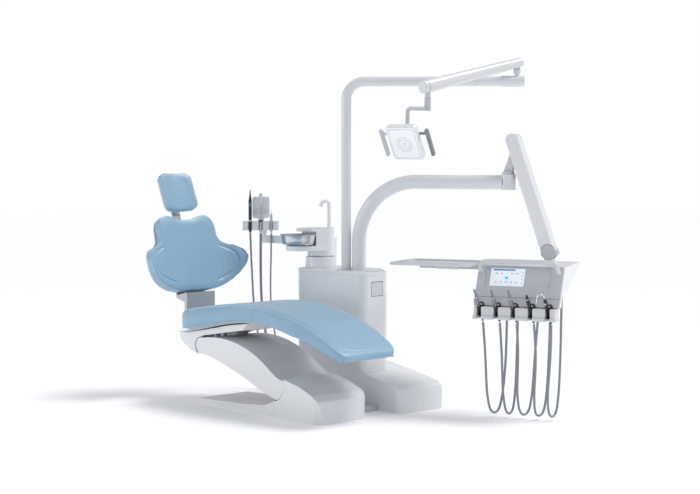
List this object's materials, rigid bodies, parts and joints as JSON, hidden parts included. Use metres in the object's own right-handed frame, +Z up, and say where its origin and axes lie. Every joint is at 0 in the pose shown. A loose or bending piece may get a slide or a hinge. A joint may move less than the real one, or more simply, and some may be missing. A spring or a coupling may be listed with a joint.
{
  "type": "dental treatment unit",
  "caption": "Dental chair on a lifting arm with a water unit, spittoon bowl, operating light, and a dentist's console and assistant's element on swinging arms.",
  "frame": {"origin": "centre of the chair base's floor face", "axes": "+Z up, +X from the headrest towards the foot end, +Y towards the water unit's side (the patient's left)"},
  "size_m": [2.3753, 1.6063, 1.9676],
  "materials": {
    "white_gloss": "glossy",
    "grey_plastic": "satin",
    "dark_plastic": "satin",
    "blue_leather": "soft satin",
    "tube_enamel": "satin",
    "white_enamel": "satin",
    "frame_steel": "satin",
    "bright_steel": "brushed",
    "chrome": "polished",
    "hose_rubber": "satin",
    "screen_glass": "glossy",
    "lens_glass": "clear",
    "frame_alloy": "satin"
  },
  "bodies": {
    "base": {"base_frame": "frame_steel", "base_rear_cover": "white_gloss", "base_front_cover": "white_gloss", "lift_pivot_shaft": "bright_steel", "lift_motor": "dark_plastic", "unit_base_cover": "white_gloss", "unit_column_cover": "white_gloss", "column_top_cover": "white_gloss", "unit_frame": "frame_alloy", "connection_duct": "grey_plastic", "turret_base": "white_gloss"},
    "lift_arm": {"lift_arm_cover": "white_gloss", "lift_arm_frame": "frame_steel"},
    "levelling_link": {"levelling_link": "bright_steel"},
    "seat": {"seat_carrier_cover": "white_gloss", "seat_frame": "frame_alloy", "seat_cushion": "blue_leather"},
    "backrest": {"backrest_bracket": "frame_alloy", "backrest_shell": "grey_plastic", "backrest_cushion": "blue_leather"},
    "headrest_slide": {"headrest_bar": "bright_steel"},
    "headrest": {"headrest_shell": "grey_plastic", "headrest_cushion": "blue_leather"},
    "hatch": {"service_hatch": "grey_plastic"},
    "bowl_arm": {"turret_housing": "white_gloss", "spittoon_bowl": "bright_steel", "cup_filler_spout": "chrome"},
    "light_mast": {"light_post": "tube_enamel"},
    "light_swivel": {"light_arm_pivot": "bright_steel"},
    "light_arm": {"light_arm": "grey_plastic"},
    "light_carrier": {"light_knuckle": "grey_plastic"},
    "light_yoke": {"light_yoke": "grey_plastic"},
    "light_head": {"light_head": "white_gloss", "light_lens": "lens_glass", "light_handles": "grey_plastic"},
    "dentist_mast": {"dentist_tube": "tube_enamel"},
    "dentist_swivel": {"dentist_knuckle": "frame_alloy"},
    "dentist_arm": {"dentist_arm": "white_gloss"},
    "console_carrier": {"console_knuckle": "grey_plastic"},
    "brake_knob": {"brake_knob": "dark_plastic"},
    "console": {"console_body": "white_gloss", "console_panel": "grey_plastic", "console_display": "screen_glass", "console_handle": "grey_plastic", "holder_blocks": "white_gloss", "handpieces": "bright_steel", "air_water_syringe": "dark_plastic", "instrument_hose_1": "hose_rubber", "instrument_hose_2": "hose_rubber", "instrument_hose_3": "hose_rubber", "instrument_hose_4": "hose_rubber", "instrument_hose_5": "hose_rubber", "tray_rail": "grey_plastic"},
    "tray": {"instrument_tray": "bright_steel"},
    "assistant": {"assistant_arm": "white_gloss", "assistant_holder": "white_gloss", "suction_instruments": "grey_plastic", "assistant_hose_1": "hose_rubber", "assistant_hose_2": "hose_rubber", "assistant_hose_3": "hose_rubber"}
  },
  "joints": [
    {"name": "chair_lift", "type": "hinge", "parent": "base", "child": "lift_arm", "pos_m": [0.15, 0, 0.176], "axis": [0, 1, 0], "range_deg": [-2, 24]},
    {"name": "link_swing", "type": "hinge", "parent": "base", "child": "levelling_link", "pos_m": [0.136, 0, 0.146], "axis": [0, 1, 0], "range_deg": [-2, 24]},
    {"name": "seat_level", "type": "hinge", "parent": "lift_arm", "child": "seat", "pos_m": [-0.498, 0, 0.33], "axis": [0, 1, 0], "range_deg": [-24, 2]},
    {"name": "back_recline", "type": "hinge", "parent": "seat", "child": "backrest", "pos_m": [-0.678, 0, 0.43], "axis": [0, -1, 0], "range_deg": [-10, 55]},
    {"name": "headrest_height", "type": "slide", "parent": "backrest", "child": "headrest_slide", "axis": [-0.3007, 0, 0.9537], "range_m": [0, 0.07]},
    {"name": "headrest_tilt", "type": "hinge", "parent": "headrest_slide", "child": "headrest", "pos_m": [-0.988, 0, 1.1], "axis": [0, -1, 0], "range_deg": [-20, 25]},
    {"name": "hatch_door", "type": "hinge", "parent": "base", "child": "hatch", "pos_m": [0.2506, 0.4535, 0.661], "axis": [0, 0, 1], "range_deg": [-110, 0]},
    {"name": "bowl_swivel", "type": "hinge", "parent": "base", "child": "bowl_arm", "pos_m": [-0.245, 0.51, 0.86], "axis": [0, 0, 1], "range_deg": [-20, 42]},
    {"name": "light_post_swivel", "type": "hinge", "parent": "base", "child": "light_mast", "pos_m": [-0.01, 0.497, 0.63], "axis": [0, 0, 1], "range_deg": [-60, 60]},
    {"name": "light_arm_swivel", "type": "hinge", "parent": "light_mast", "child": "light_swivel", "pos_m": [0.655, 1.205, 1.884], "axis": [0, 0, 1], "range_deg": [-18, 120]},
    {"name": "light_arm_tilt", "type": "hinge", "parent": "light_swivel", "child": "light_arm", "pos_m": [0.655, 1.205, 1.935], "axis": [-0.9919, 0.1271, 0], "range_deg": [-7, 24]},
    {"name": "light_level", "type": "hinge", "parent": "light_arm", "child": "light_carrier", "pos_m": [0.57332, 0.56739, 1.78541], "axis": [-0.9919, 0.1271, 0], "range_deg": [-24, 7]},
    {"name": "light_yoke_swivel", "type": "hinge", "parent": "light_carrier", "child": "light_yoke", "pos_m": [0.57332, 0.56739, 1.71041], "axis": [0, 0, 1], "range_deg": [-120, 120]},
    {"name": "light_head_tilt", "type": "hinge", "parent": "light_yoke", "child": "light_head", "pos_m": [0.54446, 0.44115, 1.55985], "axis": [0.9573, 0.2891, 0], "range_deg": [-35, 40]},
    {"name": "dentist_mast_swivel", "type": "hinge", "parent": "base", "child": "dentist_mast", "pos_m": [0.053, 0.538, 0.63], "axis": [0, 0, 1], "range_deg": [-35, 60]},
    {"name": "dentist_arm_swivel", "type": "hinge", "parent": "dentist_mast", "child": "dentist_swivel", "pos_m": [0.862, 0.905, 1.262], "axis": [0, 0, 1], "range_deg": [-80, 80]},
    {"name": "dentist_arm_tilt", "type": "hinge", "parent": "dentist_swivel", "child": "dentist_arm", "pos_m": [0.903, 0.924, 1.445], "axis": [0.3827, -0.9239, 0], "range_deg": [0, 46]},
    {"name": "console_level", "type": "hinge", "parent": "dentist_arm", "child": "console_carrier", "pos_m": [1.08085, 0.99767, 0.88592], "axis": [0.3827, -0.9239, 0], "range_deg": [-46, 0]},
    {"name": "brake_knob_turn", "type": "hinge", "parent": "console_carrier", "child": "brake_knob", "pos_m": [1.13902, 0.98821, 0.88592], "axis": [0.9239, 0.3827, 0], "range_deg": [-150, 150]},
    {"name": "console_swivel", "type": "hinge", "parent": "console_carrier", "child": "console", "pos_m": [1.08085, 0.99767, 0.808], "axis": [0, 0, 1], "range_deg": [-60, 60]},
    {"name": "tray_slide", "type": "slide", "parent": "console", "child": "tray", "axis": [-0.9239, -0.3827, 0], "range_m": [0, 0.12]},
    {"name": "assistant_swivel", "type": "hinge", "parent": "base", "child": "assistant", "pos_m": [-0.29, 0.64, 0.89], "axis": [0, 0, 1], "range_deg": [-12, 20], "deforming": ["assistant_hose_1", "assistant_hose_2", "assistant_hose_3"]}
  ],
  "couplings": [
    {"joint": "link_swing", "follows": "chair_lift", "ratio": 1},
    {"joint": "seat_level", "follows": "chair_lift", "ratio": -1},
    {"joint": "light_level", "follows": "light_arm_tilt", "ratio": -1},
    {"joint": "console_level", "follows": "dentist_arm_tilt", "ratio": -1}
  ]
}
